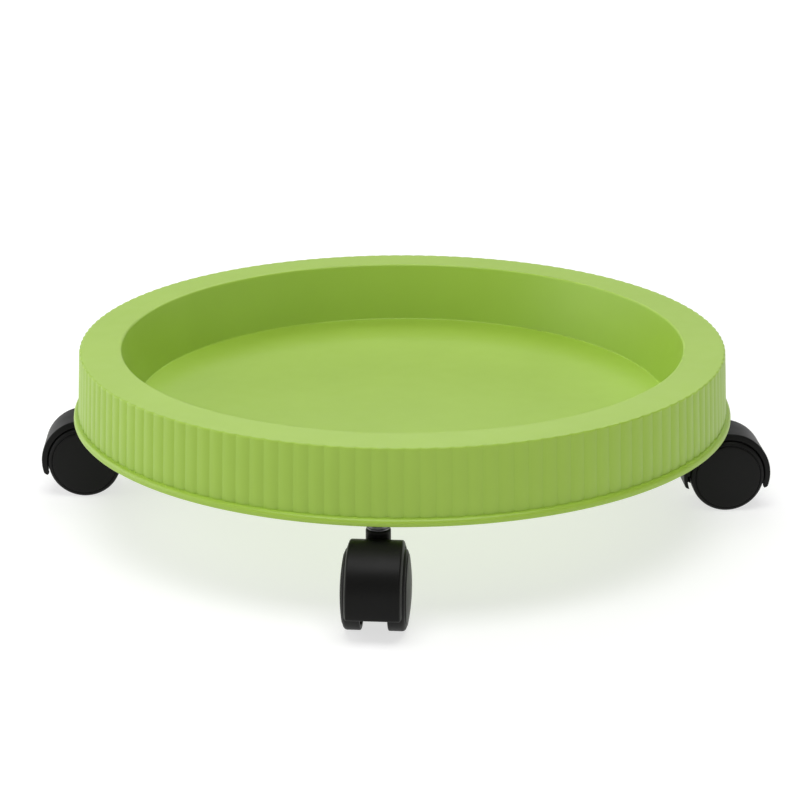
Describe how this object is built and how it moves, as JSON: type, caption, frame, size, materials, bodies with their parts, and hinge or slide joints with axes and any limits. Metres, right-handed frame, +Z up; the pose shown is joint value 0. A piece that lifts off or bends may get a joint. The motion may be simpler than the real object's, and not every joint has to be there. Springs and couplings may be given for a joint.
{
  "type": "plant pot caddy",
  "caption": "Round reeded plastic tray with a wide rim and a shallow bowl for a plant pot, rolling on twin-wheel swivel casters.",
  "frame": {"origin": "on the floor, on the tray's axis, where the wheels stand", "axes": "+Z up along the tray's axis; the casters' stems stand on +X, +Y, -X and -Y and the wheels trail outwards at rest, the right and left ones turned 7 degrees about their stems"},
  "size_m": [0.4052, 0.4028, 0.091],
  "materials": {
    "tray_plastic": "satin moulded polypropylene, light green",
    "caster_plastic": "satin black nylon",
    "wheel_plastic": "satin black nylon tread",
    "cap_plastic": "semi-gloss black cover",
    "stem_steel": "bright zinc-plated turned steel",
    "spring_steel": "dark spring steel",
    "socket_nylon": "satin black nylon sleeve",
    "axle_steel": "bright drawn steel"
  },
  "bodies": {
    "tray": {"tray": "tray_plastic", "right_stem": "stem_steel", "right_stem_clip": "spring_steel", "right_grip_ring": "spring_steel", "right_socket_sleeve": "socket_nylon", "right_swivel_washer": "stem_steel", "back_stem": "stem_steel", "back_stem_clip": "spring_steel", "back_grip_ring": "spring_steel", "back_socket_sleeve": "socket_nylon", "back_swivel_washer": "stem_steel", "left_stem": "stem_steel", "left_stem_clip": "spring_steel", "left_grip_ring": "spring_steel", "left_socket_sleeve": "socket_nylon", "left_swivel_washer": "stem_steel", "front_stem": "stem_steel", "front_stem_clip": "spring_steel", "front_grip_ring": "spring_steel", "front_socket_sleeve": "socket_nylon", "front_swivel_washer": "stem_steel"},
    "right_caster": {"right_hood": "caster_plastic", "right_axle": "axle_steel"},
    "right_wheel_a": {"right_wheel_a": "wheel_plastic", "right_wheel_cap_a": "cap_plastic"},
    "right_wheel_b": {"right_wheel_b": "wheel_plastic", "right_wheel_cap_b": "cap_plastic"},
    "back_caster": {"back_hood": "caster_plastic", "back_axle": "axle_steel"},
    "back_wheel_a": {"back_wheel_a": "wheel_plastic", "back_wheel_cap_a": "cap_plastic"},
    "back_wheel_b": {"back_wheel_b": "wheel_plastic", "back_wheel_cap_b": "cap_plastic"},
    "left_caster": {"left_hood": "caster_plastic", "left_axle": "axle_steel"},
    "left_wheel_a": {"left_wheel_a": "wheel_plastic", "left_wheel_cap_a": "cap_plastic"},
    "left_wheel_b": {"left_wheel_b": "wheel_plastic", "left_wheel_cap_b": "cap_plastic"},
    "front_caster": {"front_hood": "caster_plastic", "front_axle": "axle_steel"},
    "front_wheel_a": {"front_wheel_a": "wheel_plastic", "front_wheel_cap_a": "cap_plastic"},
    "front_wheel_b": {"front_wheel_b": "wheel_plastic", "front_wheel_cap_b": "cap_plastic"}
  },
  "joints": [
    {"name": "right_swivel", "type": "hinge", "parent": "tray", "child": "right_caster", "pos_m": [0.163, 0, 0.035], "axis": [0, 0, 1], "continuous": true},
    {"name": "right_spin_a", "type": "hinge", "parent": "right_caster", "child": "right_wheel_a", "pos_m": [0.17749, 0.00178, 0.02], "axis": [-0.1219, 0.9925, 0], "continuous": true},
    {"name": "right_spin_b", "type": "hinge", "parent": "right_caster", "child": "right_wheel_b", "pos_m": [0.17749, 0.00178, 0.02], "axis": [-0.1219, 0.9925, 0], "continuous": true},
    {"name": "back_swivel", "type": "hinge", "parent": "tray", "child": "back_caster", "pos_m": [0, 0.163, 0.035], "axis": [0, 0, 1], "continuous": true},
    {"name": "back_spin_a", "type": "hinge", "parent": "back_caster", "child": "back_wheel_a", "pos_m": [0, 0.1776, 0.02], "axis": [-1, 0, 0], "continuous": true},
    {"name": "back_spin_b", "type": "hinge", "parent": "back_caster", "child": "back_wheel_b", "pos_m": [0, 0.1776, 0.02], "axis": [-1, 0, 0], "continuous": true},
    {"name": "left_swivel", "type": "hinge", "parent": "tray", "child": "left_caster", "pos_m": [-0.163, 0, 0.035], "axis": [0, 0, 1], "continuous": true},
    {"name": "left_spin_a", "type": "hinge", "parent": "left_caster", "child": "left_wheel_a", "pos_m": [-0.17749, -0.00178, 0.02], "axis": [0.1219, -0.9925, 0], "continuous": true},
    {"name": "left_spin_b", "type": "hinge", "parent": "left_caster", "child": "left_wheel_b", "pos_m": [-0.17749, -0.00178, 0.02], "axis": [0.1219, -0.9925, 0], "continuous": true},
    {"name": "front_swivel", "type": "hinge", "parent": "tray", "child": "front_caster", "pos_m": [0, -0.163, 0.035], "axis": [0, 0, 1], "continuous": true},
    {"name": "front_spin_a", "type": "hinge", "parent": "front_caster", "child": "front_wheel_a", "pos_m": [0, -0.1776, 0.02], "axis": [1, 0, 0], "continuous": true},
    {"name": "front_spin_b", "type": "hinge", "parent": "front_caster", "child": "front_wheel_b", "pos_m": [0, -0.1776, 0.02], "axis": [1, 0, 0], "continuous": true}
  ]
}
